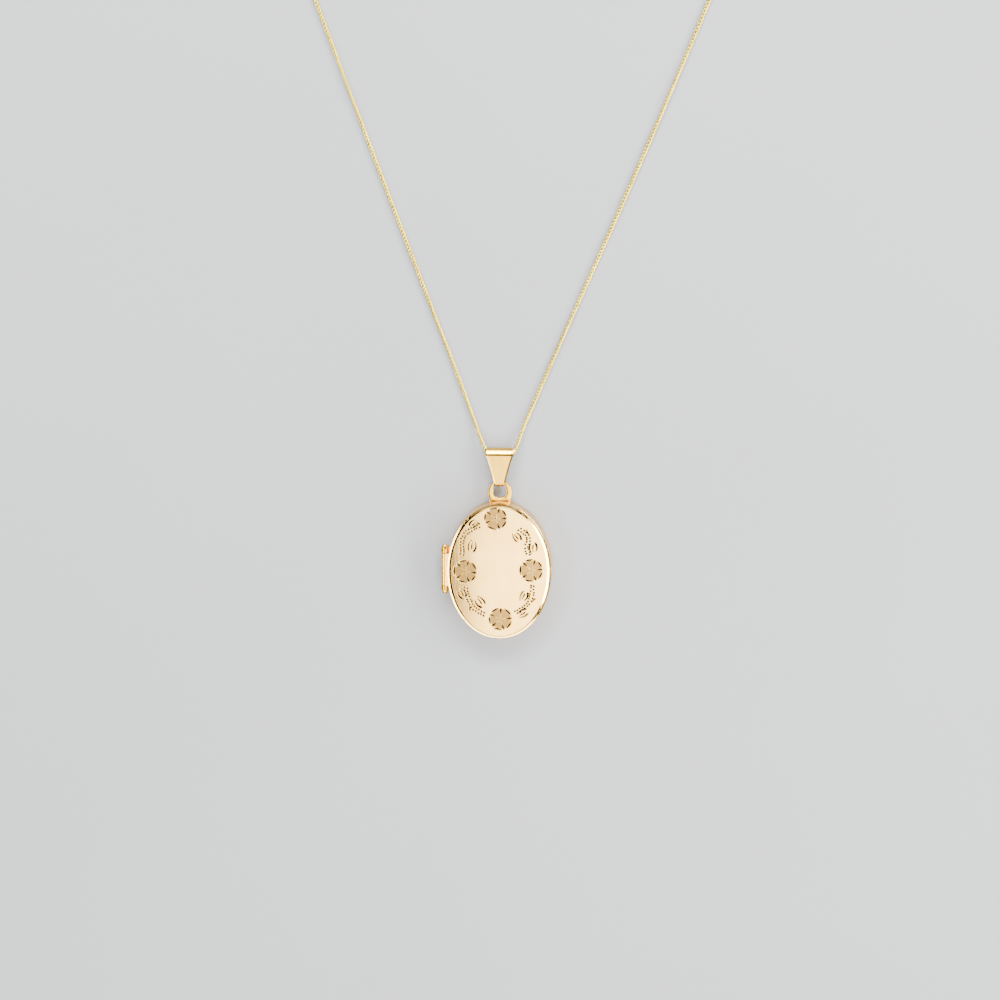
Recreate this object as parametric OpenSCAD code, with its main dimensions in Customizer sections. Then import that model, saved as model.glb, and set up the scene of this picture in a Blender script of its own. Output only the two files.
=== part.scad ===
// Oval gold locket on a fine curb chain, lying on its back.
// The origin is the middle of the small flat on the back, +Z comes out of the
// engraved cover and +Y points to the pendant loop and the bail.

/* [Case] */
// Width across the closed case, without the hinge
case_w = 19.6; // [19.4:0.1:19.8]
// Length along the closed case, without the loop
case_l = 26; // [25.6:0.1:26.4]
// Depth of each half from the parting plane to its outermost face
half_t = 2.5; // [2.4:0.05:2.6]
// Thickness of the gold sheet
sheet_t = 0.35; // [0.3:0.01:0.38]
// Width of the bevelled shoulder inside the rim bead
shoulder_w = 0.45; // [0.4:0.05:0.6]
// Rise of the domed face above its shoulder
face_rise = 0.22; // [0.16:0.01:0.3]

/* [Hinge] */
// Outer radius of the hinge barrel
barrel_r = 0.75; // [0.7:0.01:0.78]
// Radius of the hinge pin
pin_r = 0.25; // [0.2:0.01:0.3]
// Length of the middle knuckle
middle_l = 6.2; // [5.6:0.1:6.4]
// Length of each end knuckle
end_l = 1.5; // [1.3:0.05:1.6]

/* [Loop and bail] */
// Outer radius of the pendant loop
loop_r = 2.3; // [2.2:0.05:2.4]
// Width of the opening in the pendant loop
loop_hole_w = 2.4; // [2.3:0.05:2.5]
// Width of the bail at its top corners
bail_top_w = 5.7; // [5.5:0.05:5.8]
// Width of the bail where it closes round the loop
bail_foot_w = 1.9; // [1.7:0.05:1.95]
// Thickness of the bail's strip
bail_t = 0.32; // [0.28:0.01:0.34]

/* [Pictures] */
// Width of the picture frames' lips
lip_w = 1.1; // [0.8:0.1:1.4]
// Thickness of the clear windows
window_t = 0.22; // [0.15:0.01:0.24]
// Thickness of the blank picture cards
card_t = 0.16; // [0.1:0.01:0.2]

/* [Chain] */
// Radius of the tube that stands for the curb chain
chain_r = 0.42; // [0.38:0.01:0.44]
// Mean radius of the coil of spare chain
coil_mid_r = 4.75; // [4.7:0.01:4.8]

/* [Clasp] */
// Mean radius of the bolt ring
clasp_r = 2.1; // [2.05:0.01:2.15]
// Radius of the bolt ring's tube
clasp_tube_r = 0.62; // [0.6:0.01:0.64]
// Radius of the sliding bolt
bolt_r = 0.36; // [0.34:0.01:0.37]

/* [Hidden] */
$fn = 128;

pale_gold = [0.93, 0.83, 0.66];
warm_gold = [0.87, 0.68, 0.36];
clear_film = [0.85, 0.9, 0.92, 0.5];
paper = [0.93, 0.91, 0.86];
steel = [0.7, 0.7, 0.72];

// Case: every oval is a circle in X stretched along Y by this ratio.
oval_ratio = case_l / case_w;
parting_z = half_t;
bead_r = 0.22;
wall_r = case_w / 2 - 0.1;
inner_r = wall_r - sheet_t;
bead_h = half_t - 0.7;
shoulder_r = wall_r - 0.4;
face_r = shoulder_r - shoulder_w;
face_h = half_t - face_rise;
flange_gap = 0.06;
flange_top = 0.55;
solder_gap = 0.08;
frame_depth = 0.8;

// Hinge: the axis runs along Y in the parting plane, beside the case.
hinge_x = -(case_w / 2 + 0.5);
hinge_gap = 0.05;
barrel_half = middle_l / 2 + hinge_gap + end_l;

// Loop and bail: the bail closes round the wire at the top of the loop.
loop_y = case_l / 2 + 1.6;
loop_z = 1.3;
loop_t = 0.8;
loop_top_t = 0.55;
wire_y = loop_y + loop_r - loop_top_t / 2;
hole_top = loop_y + loop_r - loop_top_t;
bail_foot_r = 0.5 + bail_t;
bail_top_r = 1.25;
bail_top_y = wire_y + 5.32;
fold_inset = 0.5;
leaf_z = 1.9;

// Chain: the two strands lie in a V and turn in behind it to the coil and the clasp.
tube_sides = 8;
nose_r = 0.1;
clasp_at = [11, 116.8, 1.1];
coil_at = [-14, 122.8, 0];
coil_turn_gap = 0.95;
coil_turns = 3;
bolt_from = -38;
bolt_to = 60;
knob_at = 50;
slide_a = 68;
gap_a = 32;
spring_to = 200;
eye_r = 0.62;
eye_wire_r = 0.22;
link_r = 0.72;
link_wire_r = 0.2;
end_ring_r = 0.95;
eye_x = clasp_at.x - clasp_r - clasp_tube_r - eye_r - eye_wire_r + 0.15;
link_x = eye_x - link_r;
end_ring_x = clasp_at.x + clasp_r - bolt_r - 0.03 + end_ring_r - link_wire_r;

left_route = [[-3.15, 23.6, 0.87], [-3.8, 25.3, 0.72], [-4.8, 28, 0.52], [-8.9, 39.3, 0.45], [-13.2, 50.6, 0.45],
    [-17.4, 61.8, 0.45], [-21.6, 73, 0.45], [-25.7, 84.1, 0.45], [-29.8, 95.2, 0.45], [-33.8, 106.2, 0.45],
    [-35.2, 110.3, 0.45], [-34.6, 113.9, 0.45], [-31.4, 116, 0.45], [-26.5, 116.6, 0.45], [-21.5, 116.6, 0.45],
    [-17.3, 116.6, 0.45]];
left_end_route = [[-10.6, 116.6, 1.3], [-8, 116.6, 1.15], [-4.6, 116.8, 0.7], [-1.2, 117, 0.45],
    [2.4, 117, 0.6], [5.95, 116.8, 1.1]];
right_route = [[3.15, 23.6, 0.87], [3.8, 25.3, 0.72], [4.8, 28, 0.52], [9.6, 39.3, 0.45], [14.5, 50.6, 0.45],
    [19.4, 61.8, 0.45], [24.2, 73, 0.45], [28.9, 84.1, 0.45], [33.5, 95.2, 0.45], [38, 106.2, 0.45],
    [39.5, 110.3, 0.45], [39, 114, 0.45], [35.8, 116.3, 0.45], [30.5, 117, 0.45], [23, 117.2, 0.45],
    [18.4, 117, 0.6], [14.65, 116.8, 1.1]];
bail_run_y = bail_top_y + 0.15;
bend_x = 2;
bend_r = 0.8;
bend_a = 68;
bail_route = concat([[-3.12, 23.52, 0.87]],
    [for (i = [4:-1:0]) [-bend_x - bend_r * sin(bend_a * i / 4), bail_run_y + bend_r * (1 - cos(bend_a * i / 4)), 0.87]],
    [for (i = [0:4]) [bend_x + bend_r * sin(bend_a * i / 4), bail_run_y + bend_r * (1 - cos(bend_a * i / 4)), 0.87]],
    [[3.12, 23.52, 0.87]]);

// Points on a circular arc in the plane of a profile.
function arc_pts(c, r, a0, a1, n) = [for (i = [0:n]) c + r * [cos(a0 + (a1 - a0) * i / n), sin(a0 + (a1 - a0) * i / n)]];

// A point on the smooth curve through four neighbouring route points.
function curve_pt(a, b, c, d, t) =
    0.5 * (2 * b + (c - a) * t + (2 * a - 5 * b + 4 * c - d) * t * t + (3 * b - a - 3 * c + d) * t * t * t);

// The route with one more point half way along each of its steps.
function smooth(p) = concat(
    [for (i = [0:len(p) - 2]) for (t = [0, 0.5])
        curve_pt(p[max(i - 1, 0)], p[i], p[i + 1], p[min(i + 2, len(p) - 1)], t)],
    [p[len(p) - 1]]);

function unit(v) = v / norm(v);
function heading(p, i) = unit(p[min(i + 1, len(p) - 1)] - p[max(i - 1, 0)]);

// A closed round tube swept along a route, with its own radius at each end.
module tube(route, start_r, end_r) {
    p = smooth(route);
    last = len(p) - 1;
    rings = [for (i = [0:last])
        let (t = heading(p, i), s = unit(cross(t, [0, 0, 1])), u = cross(s, t),
             r = i == 0 ? start_r : (i == last ? end_r : chain_r))
        for (k = [0:tube_sides - 1]) p[i] + r * (cos(360 * k / tube_sides) * s + sin(360 * k / tube_sides) * u)];
    sides = [for (i = [0:last - 1]) for (k = [0:tube_sides - 1]) let (a = i * tube_sides, k2 = (k + 1) % tube_sides)
        [a + k, a + k2, a + tube_sides + k2, a + tube_sides + k]];
    start = [[for (k = [tube_sides - 1:-1:0]) k]];
    end = [[for (k = [0:tube_sides - 1]) last * tube_sides + k]];
    polyhedron(rings, concat(sides, start, end), convexity = 4);
}

module oval() scale([1, oval_ratio, 1]) children();

// A solid oval slab from one height above the parting plane to another.
module oval_slab(r, h0, h1) oval() translate([0, 0, h0]) cylinder(r = r, h = h1 - h0);

// Half section of a stamped shell: wall, rim bead, shoulder and domed face.
module shell_section(rise) {
    polygon(concat(
        [[wall_r, 0.02]],
        arc_pts([wall_r - 0.12, bead_h], bead_r, -20, 110, 6),
        [[shoulder_r, bead_h + 0.2], [face_r, face_h]],
        [for (i = [1:8]) [face_r * (1 - i / 8), face_h + rise * (1 - pow(1 - i / 8, 2))]],
        [[0, face_h + rise - sheet_t], [face_r, face_h - sheet_t], [inner_r - 0.35, bead_h], [inner_r, bead_h - 0.35],
         [inner_r, 0.02]]));
}

// A length of the hinge's line, centred on the case, and the same for the room round its knuckles.
module hinge_rod(r, l) translate([hinge_x, 0, 0]) rotate([90, 0, 0]) cylinder(r = r, h = l, center = true);
module knuckle_room(middle_r, end_r, middle_room_l) {
    hinge_rod(middle_r, middle_room_l);
    difference() {
        hinge_rod(end_r, 2 * barrel_half + 0.2);
        hinge_rod(end_r + 1, middle_room_l);
    }
}
module nail_nick() translate([wall_r + 0.35, 0, 0]) rotate([90, 0, 0]) cylinder(r = 0.45, h = 3.2, center = true);

module back_shell() color(pale_gold) difference() {
    translate([0, 0, parting_z]) mirror([0, 0, 1]) difference() {
        oval() rotate_extrude() shell_section(face_rise + 0.08);
        knuckle_room(barrel_r + 0.05, barrel_r, middle_l + 2 * hinge_gap);
        nail_nick();
    }
    translate([-case_w, -case_l, -1]) cube([2 * case_w, 2 * case_l, 1]);
}

module front_shell() color(pale_gold) translate([0, 0, parting_z]) difference() {
    oval() rotate_extrude() shell_section(face_rise);
    knuckle_room(barrel_r, barrel_r + 0.05, middle_l);
    nail_nick();
    translate([inner_r - 0.08, 0, 0.28]) rotate([90, 0, 0]) cylinder(r = 0.17, h = 1.6, center = true);
}

// The strip soldered inside the back half, which the cover closes over.
module back_flange() color(pale_gold) translate([0, 0, parting_z]) oval() rotate_extrude()
    polygon([[inner_r, -1.4], [inner_r, -0.02], [inner_r - flange_gap, 0.04], [inner_r - flange_gap, flange_top - 0.1],
             [inner_r - flange_gap - 0.1, flange_top], [inner_r - 0.3, flange_top], [inner_r - 0.3, -1.4]]);

module catch_nib() color(pale_gold) translate([0, 0, parting_z]) difference() {
    translate([inner_r - 0.08, 0, 0.28]) rotate([90, 0, 0]) cylinder(r = 0.12, h = 1.4, center = true);
    oval_slab(inner_r - flange_gap, 0, flange_top);
}

// A drilled end knuckle that tapers away from the middle one.
module end_knuckle() rotate([-90, 0, 0]) translate([0, 0, middle_l / 2 + hinge_gap]) difference() {
    union() {
        cylinder(r = barrel_r, h = end_l * 0.45);
        translate([0, 0, end_l * 0.45]) cylinder(r1 = barrel_r, r2 = 0.48, h = end_l * 0.55);
    }
    translate([0, 0, -1]) cylinder(r = pin_r + 0.04, h = end_l + 2);
}

module upper_knuckle() color(warm_gold) translate([hinge_x, 0, parting_z]) end_knuckle();
module lower_knuckle() color(warm_gold) translate([hinge_x, 0, parting_z]) mirror([0, 1, 0]) end_knuckle();

module middle_knuckle() color(pale_gold) translate([0, 0, parting_z]) difference() {
    hinge_rod(barrel_r, middle_l);
    hinge_rod(pin_r + 0.04, middle_l + 2);
}

module hinge_pin() color(warm_gold) translate([0, 0, parting_z]) hinge_rod(pin_r, 2 * barrel_half);

// A fillet of metal between the barrel and the wall, on one side of the parting plane.
module bearer(y0, y1, h0, h1) difference() {
    translate([hinge_x, y0, h0]) cube([1.6, y1 - y0, h1 - h0]);
    oval_slab(wall_r + solder_gap, h0 - 1, h1 + 1);
    hinge_rod(barrel_r, 2 * barrel_half + 1);
}

module back_bearers() color(warm_gold) translate([0, 0, parting_z]) for (side = [0, 1]) mirror([0, side, 0])
    bearer(middle_l / 2 + hinge_gap, middle_l / 2 + hinge_gap + end_l * 0.8, -0.8, -0.05);
module front_bearer() color(pale_gold) translate([0, 0, parting_z]) bearer(-middle_l / 2, middle_l / 2, 0.05, 0.8);

// One half's picture frame, window and card, from its lip's height above the parting plane.
module frame_ring(r, h) oval() rotate_extrude() polygon([[r - 0.3, h + frame_depth], [r, h + frame_depth], [r, h],
    [r - lip_w, h], [r - lip_w - 0.1, h + 0.12], [r - lip_w, h + 0.24], [r - 0.3, h + 0.24]]);
module window_plate(r, h) oval_slab(r - 0.35, h + 0.26, h + 0.26 + window_t);
module card_plate(r, h) oval_slab(r - 0.35, h + 0.5, h + 0.5 + card_t);

back_pictures_r = inner_r - 0.35;
back_pictures_h = 0.3;
front_pictures_r = inner_r - 0.04;
front_pictures_h = 0.62;

module in_back() translate([0, 0, parting_z]) mirror([0, 0, 1]) children();
module in_front() translate([0, 0, parting_z]) children();

module back_frame() color(pale_gold) in_back() frame_ring(back_pictures_r, back_pictures_h);
module back_window() color(clear_film) in_back() window_plate(back_pictures_r, back_pictures_h);
module back_card() color(paper) in_back() card_plate(back_pictures_r, back_pictures_h);
module front_frame() color(pale_gold) in_front() frame_ring(front_pictures_r, front_pictures_h);
module front_window() color(clear_film) in_front() window_plate(front_pictures_r, front_pictures_h);
module front_card() color(paper) in_front() card_plate(front_pictures_r, front_pictures_h);

// A closed flat loop whose legs widen into the wall of the back half.
module pendant_loop() color(warm_gold) translate([0, 0, loop_z]) difference() {
    union() {
        translate([0, loop_y, 0]) cylinder(r = loop_r, h = loop_t, center = true);
        translate([-2, case_l / 2 - 0.8, -loop_t / 2]) cube([4, loop_y - case_l / 2 - 0.2, loop_t]);
    }
    translate([0, loop_y, 0]) cylinder(d = loop_hole_w, h = 2, center = true);
    translate([-loop_hole_w / 2, loop_y, -1]) cube([loop_hole_w, hole_top - 0.3 - loop_y, 2]);
    translate([-loop_hole_w / 2 + 0.3, loop_y, -1]) cube([loop_hole_w - 0.6, hole_top - loop_y, 2]);
    for (side = [-1, 1]) translate([side * (loop_hole_w / 2 - 0.3), hole_top - 0.3, 0]) cylinder(r = 0.3, h = 2, center = true);
    oval_slab(wall_r + solder_gap, -2, 2);
}

// The strip's side view: two rounds joined by straight leaves.
module bail_block(foot_r, top_r) {
    lean = (top_r - foot_r) / (bail_top_y - wire_y);
    rise = sqrt(1 - lean * lean);
    translate([0, wire_y, loop_z]) rotate([0, 90, 0]) cylinder(r = foot_r, h = 8, center = true);
    translate([0, bail_top_y, loop_z]) rotate([0, 90, 0]) cylinder(r = top_r, h = 8, center = true);
    translate([0, 0, loop_z]) rotate([90, 0, 90]) linear_extrude(8, center = true) polygon([
        [wire_y - foot_r * lean, foot_r * rise], [wire_y - foot_r * lean, -foot_r * rise],
        [bail_top_y - top_r * lean, -top_r * rise], [bail_top_y - top_r * lean, top_r * rise]]);
}

// The front view of the strip, tapered from its top corners to its foot.
module bail_outline(inset, z0) {
    foot = bail_foot_w / 2;
    top = bail_top_w / 2;
    grow = (top - foot) / (bail_top_y + bail_top_r - wire_y);
    y_top = bail_top_y + bail_top_r + 0.5;
    x_top = top + 0.5 * grow;
    cut = inset * (y_top - wire_y) / (bail_top_y - wire_y);
    translate([0, 0, z0]) linear_extrude(4) polygon([[-foot, wire_y - 2], [foot, wire_y - 2], [foot, wire_y],
        [x_top - cut, y_top], [-x_top + cut, y_top], [-foot, wire_y]]);
}

module bail() color(pale_gold) difference() {
    intersection() {
        bail_block(bail_foot_r, bail_top_r);
        union() {
            bail_outline(0, leaf_z);
            bail_outline(fold_inset, -1);
        }
    }
    bail_block(bail_foot_r - bail_t, bail_top_r - bail_t);
}

// The chain's run through the bail and its two strands are narrow where they meet, so the bail can swing there.
module chain_in_bail() color(warm_gold) tube(bail_route, nose_r, nose_r);
module chain_left() color(warm_gold) tube(left_route, nose_r, chain_r);
module chain_left_end() color(warm_gold) tube(left_end_route, chain_r, chain_r);
module chain_right() color(warm_gold) tube(right_route, nose_r, chain_r);

// The outer shape of the two layers of turns that the spare chain is wound in.
module chain_coil() color(warm_gold) translate(coil_at) rotate_extrude() {
    half_w = (coil_turns * coil_turn_gap + 2 * chain_r) / 2;
    r0 = coil_mid_r - half_w;
    r1 = coil_mid_r + half_w;
    polygon([[r0, 0.3], [r0 + 0.3, 0.02], [r1 - 0.3, 0.02], [r1, 0.3], [r1, 1.5], [r1 - 0.3, 1.78], [r0 + 0.3, 1.78],
             [r0, 1.5]]);
}

// An arc of round bar lying in the clasp's plane.
module ring_arc(r, bar_r, a0, a1) rotate([0, 0, a0]) rotate_extrude(angle = a1 - a0) translate([r, 0]) circle(r = bar_r);
module upright_ring(x, z, r, bar_r) translate([x, clasp_at.y, z]) rotate([90, 0, 0]) rotate_extrude() translate([r, 0])
    circle(r = bar_r);

module clasp_body() color(warm_gold) translate(clasp_at) difference() {
    ring_arc(clasp_r, clasp_tube_r, gap_a, 360 - gap_a);
    ring_arc(clasp_r, bolt_r + 0.04, gap_a - 2, spring_to + 2);
    ring_arc(clasp_r, bolt_r + 0.04, 360 + bolt_from - 3, 360 - gap_a + 2);
    rotate([0, 0, knob_at - 7]) rotate_extrude(angle = slide_a + 14) translate([clasp_r, -0.26]) square([1, 0.52]);
}

module clasp_bolt() color(warm_gold) translate(clasp_at) union() {
    ring_arc(clasp_r, bolt_r, bolt_from, bolt_to);
    rotate([0, 0, knob_at]) translate([clasp_r, 0, 0]) rotate([0, 90, 0]) cylinder(r = 0.2, h = clasp_tube_r + 0.4);
}

module clasp_spring() color(steel) translate(clasp_at) ring_arc(clasp_r, bolt_r - 0.03, bolt_to + 1, spring_to);

module clasp_eye() color(warm_gold) difference() {
    translate([eye_x, clasp_at.y, clasp_at.z]) rotate_extrude() translate([eye_r, 0]) circle(r = eye_wire_r);
    translate(clasp_at) ring_arc(clasp_r, clasp_tube_r, 120, 240);
}

module clasp_link() color(warm_gold) upright_ring(link_x, clasp_at.z, link_r, link_wire_r);
module end_ring() color(warm_gold) upright_ring(end_ring_x, end_ring_r + link_wire_r + 0.02, end_ring_r, link_wire_r);

back_shell();
back_flange();
front_shell();
upper_knuckle();
lower_knuckle();
middle_knuckle();
hinge_pin();
back_bearers();
front_bearer();
catch_nib();
back_frame();
back_window();
back_card();
front_frame();
front_window();
front_card();
pendant_loop();
bail();
chain_in_bail();
chain_left();
chain_left_end();
chain_right();
chain_coil();
clasp_body();
clasp_bolt();
clasp_spring();
clasp_eye();
clasp_link();
end_ring();
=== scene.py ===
import math

import bpy
import numpy as np
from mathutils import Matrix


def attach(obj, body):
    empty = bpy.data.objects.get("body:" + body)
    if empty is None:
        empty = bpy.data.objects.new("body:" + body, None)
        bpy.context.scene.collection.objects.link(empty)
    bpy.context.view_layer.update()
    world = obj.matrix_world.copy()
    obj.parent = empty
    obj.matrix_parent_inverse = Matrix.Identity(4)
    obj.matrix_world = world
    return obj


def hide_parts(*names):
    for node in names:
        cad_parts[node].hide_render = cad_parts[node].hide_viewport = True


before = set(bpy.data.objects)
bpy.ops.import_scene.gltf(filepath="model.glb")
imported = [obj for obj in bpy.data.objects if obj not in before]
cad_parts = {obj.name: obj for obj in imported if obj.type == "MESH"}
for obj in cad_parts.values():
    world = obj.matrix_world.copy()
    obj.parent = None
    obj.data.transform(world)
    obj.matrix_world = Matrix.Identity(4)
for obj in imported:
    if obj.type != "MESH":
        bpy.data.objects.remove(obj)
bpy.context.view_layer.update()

# ---------------------------------------------------------------------------
# The table and the light. The locket lies on its back on a pale surface under
# two soft lamps, ringed by bright panels that its rims mirror. The room between
# them is dark, and only the camera sees it as a pale backdrop.
# ---------------------------------------------------------------------------
MM = 0.001

camera = bpy.data.objects.new("camera", bpy.data.cameras.new("camera"))
bpy.context.scene.collection.objects.link(camera)
camera.data.sensor_width = 36
camera.data.lens = 134.04
camera.data.clip_start = 0.01
lean_back = math.radians(12.5)
lean_right = math.radians(2.5)
camera_far = 0.7
aim_x, aim_y, aim_z = 0.1 * MM, 13.4 * MM, 2.5 * MM
camera.location = (
    aim_x + camera_far * math.cos(lean_back) * math.sin(lean_right),
    aim_y + camera_far * math.sin(lean_back),
    aim_z + camera_far * math.cos(lean_back) * math.cos(lean_right),
)
camera.rotation_euler = (-lean_back, lean_right, 0)
bpy.context.scene.camera = camera

table_half = 1.5
table_corners = [(-1, -1), (1, -1), (1, 1), (-1, 1)]
table_mesh = bpy.data.meshes.new("table")
table_mesh.from_pydata([(x * table_half, y * table_half, 0) for x, y in table_corners], [], [(0, 1, 2, 3)])
table = bpy.data.objects.new("table", table_mesh)
bpy.context.scene.collection.objects.link(table)
paper = bpy.data.materials.new("table paper")
paper.use_nodes = True
paper_nodes = paper.node_tree.nodes
paper_links = paper.node_tree.links
paper_shader = paper_nodes["Principled BSDF"]
paper_shader.inputs["Roughness"].default_value = 0.75
paper_place = paper_nodes.new("ShaderNodeTexCoord")
paper_cloud = paper_nodes.new("ShaderNodeTexNoise")
paper_cloud.inputs["Scale"].default_value = 9
paper_ramp = paper_nodes.new("ShaderNodeValToRGB")
paper_ramp.color_ramp.elements[0].color = (0.22, 0.225, 0.23, 1)
paper_ramp.color_ramp.elements[1].color = (0.25, 0.255, 0.26, 1)
paper_links.new(paper_place.outputs["Object"], paper_cloud.inputs["Vector"])
paper_links.new(paper_cloud.outputs["Fac"], paper_ramp.inputs["Fac"])
paper_links.new(paper_ramp.outputs["Color"], paper_shader.inputs["Base Color"])
table_mesh.materials.append(paper)

room = bpy.data.worlds.new("room")
room.use_nodes = True
backdrop = room.node_tree.nodes["Background"]
backdrop.inputs["Color"].default_value = (0.93, 0.96, 1.0, 1)
room_seen = room.node_tree.nodes.new("ShaderNodeLightPath")
room_level = room.node_tree.nodes.new("ShaderNodeMath")
room_level.operation = "MULTIPLY_ADD"
room_level.inputs[1].default_value = 0.6
room_level.inputs[2].default_value = 0.02
room.node_tree.links.new(room_seen.outputs["Is Camera Ray"], room_level.inputs[0])
room.node_tree.links.new(room_level.outputs[0], backdrop.inputs["Strength"])
bpy.context.scene.world = room


def lamp(name, size, power, place, look_at):
    """A soft lamp, so many metres wide and high, at place and turned so that it shines at look_at."""
    data = bpy.data.lights.new(name, "AREA")
    data.shape = "RECTANGLE"
    data.size, data.size_y = size
    data.energy = power
    obj = bpy.data.objects.new(name, data)
    bpy.context.scene.collection.objects.link(obj)
    obj.location = place
    aim = np.array(place) - np.array(look_at)
    across = math.hypot(aim[0], aim[1])
    obj.rotation_euler = (math.atan2(across, aim[2]), 0, math.atan2(aim[0], -aim[1]))


lamp("overhead lamp", (0.80, 0.8), 1.2, (0.08, -0.05, 0.56), (0.08, -0.04, 0))
lamp("inner lamp", (0.36, 0.5), 3.7, (0.115, -0.13, 0.55), (0.115, -0.12, 0))
lamp("right panel", (1.2, 0.17), 20.0, (0.50, 0.02, 0.26), (0, 0, 0))
lamp("left lamp", (0.9, 0.12), 5.5, (-0.40, 0.0, 0.40), (0, 0, 0))
lamp("far panel", (0.6, 0.16), 15.0, (0.0, 0.50, 0.38), (0, 0, 0))
lamp("near panel", (0.7, 0.16), 4.5, (0.0, -0.46, 0.36), (0, 0, 0))

# ---------------------------------------------------------------------------
# The gold. One way of polishing for every part: fine hairlines from wear, and
# a faint cloud where fingers have dulled it. Only the alloy's colour differs.
# ---------------------------------------------------------------------------


def group_sockets(tree, inputs, outputs):
    """Gives a node group its named inputs, as (name, kind, value), and outputs, as (name, kind)."""
    for name, kind, value in inputs:
        socket = tree.interface.new_socket(name, in_out="INPUT", socket_type=kind)
        if value is not None:
            socket.default_value = value
    for name, kind in outputs:
        tree.interface.new_socket(name, in_out="OUTPUT", socket_type=kind)
    return tree.nodes.new("NodeGroupInput"), tree.nodes.new("NodeGroupOutput")


def hairlines_group():
    """Long thin scratches: two stretched noises, one turned, each kept only near its middle value."""
    tree = bpy.data.node_groups.new("hairlines", "ShaderNodeTree")
    inp, out = group_sockets(
        tree,
        [
            ("Vector", "NodeSocketVector", None),
            ("Scale", "NodeSocketFloat", 900.0),
            ("Thinness", "NodeSocketFloat", 0.02),
        ],
        [("Mask", "NodeSocketFloat")],
    )
    masks = []
    for turn in (0.5, -0.9):
        mapping = tree.nodes.new("ShaderNodeMapping")
        mapping.inputs["Rotation"].default_value = (0, 0, turn)
        mapping.inputs["Scale"].default_value = (1.0, 0.04, 0.04)
        noise = tree.nodes.new("ShaderNodeTexNoise")
        noise.inputs["Detail"].default_value = 1
        level = tree.nodes.new("ShaderNodeMath")
        level.operation = "SUBTRACT"
        level.inputs[1].default_value = 0.5
        distance = tree.nodes.new("ShaderNodeMath")
        distance.operation = "ABSOLUTE"
        thin = tree.nodes.new("ShaderNodeMath")
        thin.operation = "LESS_THAN"
        tree.links.new(inp.outputs["Vector"], mapping.inputs["Vector"])
        tree.links.new(mapping.outputs["Vector"], noise.inputs["Vector"])
        tree.links.new(inp.outputs["Scale"], noise.inputs["Scale"])
        tree.links.new(noise.outputs["Fac"], level.inputs[0])
        tree.links.new(level.outputs[0], distance.inputs[0])
        tree.links.new(distance.outputs[0], thin.inputs[0])
        tree.links.new(inp.outputs["Thinness"], thin.inputs[1])
        masks.append(thin)
    both = tree.nodes.new("ShaderNodeMath")
    both.operation = "MAXIMUM"
    tree.links.new(masks[0].outputs[0], both.inputs[0])
    tree.links.new(masks[1].outputs[0], both.inputs[1])
    tree.links.new(both.outputs[0], out.inputs["Mask"])
    return tree


def cloud_group():
    """Handling marks: a soft noise and a finer one, mixed, that fade between a low and a high value."""
    tree = bpy.data.node_groups.new("handling marks", "ShaderNodeTree")
    inp, out = group_sockets(
        tree,
        [
            ("Vector", "NodeSocketVector", None),
            ("Scale", "NodeSocketFloat", 150.0),
            ("Low", "NodeSocketFloat", 0.0),
            ("High", "NodeSocketFloat", 1.0),
        ],
        [("Value", "NodeSocketFloat")],
    )
    noise = tree.nodes.new("ShaderNodeTexNoise")
    noise.inputs["Detail"].default_value = 4
    noise.inputs["Roughness"].default_value = 0.6
    spread = tree.nodes.new("ShaderNodeMapRange")
    spread.inputs["From Min"].default_value = 0.35
    spread.inputs["From Max"].default_value = 0.68
    tree.links.new(inp.outputs["Vector"], noise.inputs["Vector"])
    tree.links.new(inp.outputs["Scale"], noise.inputs["Scale"])
    tree.links.new(noise.outputs["Fac"], spread.inputs["Value"])
    tree.links.new(inp.outputs["Low"], spread.inputs["To Min"])
    tree.links.new(inp.outputs["High"], spread.inputs["To Max"])
    tree.links.new(spread.outputs["Result"], out.inputs["Value"])
    return tree


HAIRLINES = hairlines_group()
HANDLING = cloud_group()


def placed_group(material, group, **values):
    """A node group in a material, reading Object coordinates, with its own values."""
    node = material.node_tree.nodes.new("ShaderNodeGroup")
    node.node_tree = group
    for name, value in values.items():
        node.inputs[name].default_value = value
    place = material.node_tree.nodes.new("ShaderNodeTexCoord")
    material.node_tree.links.new(place.outputs["Object"], node.inputs["Vector"])
    return node


def polished_metal(name, bright, deep, rough=0.12, rough_spread=0.07, scratch_scale=900.0):
    """Polished metal whose tone drifts between two colours and whose gloss is broken by hairlines."""
    scratch_rough = 0.05
    material = bpy.data.materials.new(name)
    material.use_nodes = True
    nodes = material.node_tree.nodes
    links = material.node_tree.links
    shader = nodes["Principled BSDF"]
    shader.inputs["Metallic"].default_value = 1.0
    tone = placed_group(material, HANDLING, Scale=230.0)
    dull = placed_group(material, HANDLING, Scale=90.0, Low=rough, High=rough + rough_spread)
    lines = placed_group(material, HAIRLINES, Scale=scratch_scale, Thinness=0.012)
    colour = nodes.new("ShaderNodeMix")
    colour.data_type = "RGBA"
    colour.inputs["A"].default_value = (*bright, 1)
    colour.inputs["B"].default_value = (*deep, 1)
    links.new(tone.outputs["Value"], colour.inputs["Factor"])
    links.new(colour.outputs["Result"], shader.inputs["Base Color"])
    rougher = nodes.new("ShaderNodeMath")
    rougher.operation = "MULTIPLY_ADD"
    rougher.inputs[1].default_value = scratch_rough
    links.new(lines.outputs["Mask"], rougher.inputs[0])
    links.new(dull.outputs["Value"], rougher.inputs[2])
    links.new(rougher.outputs[0], shader.inputs["Roughness"])
    bump = nodes.new("ShaderNodeBump")
    bump.inputs["Strength"].default_value = 0.06
    bump.inputs["Distance"].default_value = 0.00002
    bump.invert = True
    links.new(lines.outputs["Mask"], bump.inputs["Height"])
    links.new(bump.outputs["Normal"], shader.inputs["Normal"])
    return material


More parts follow.
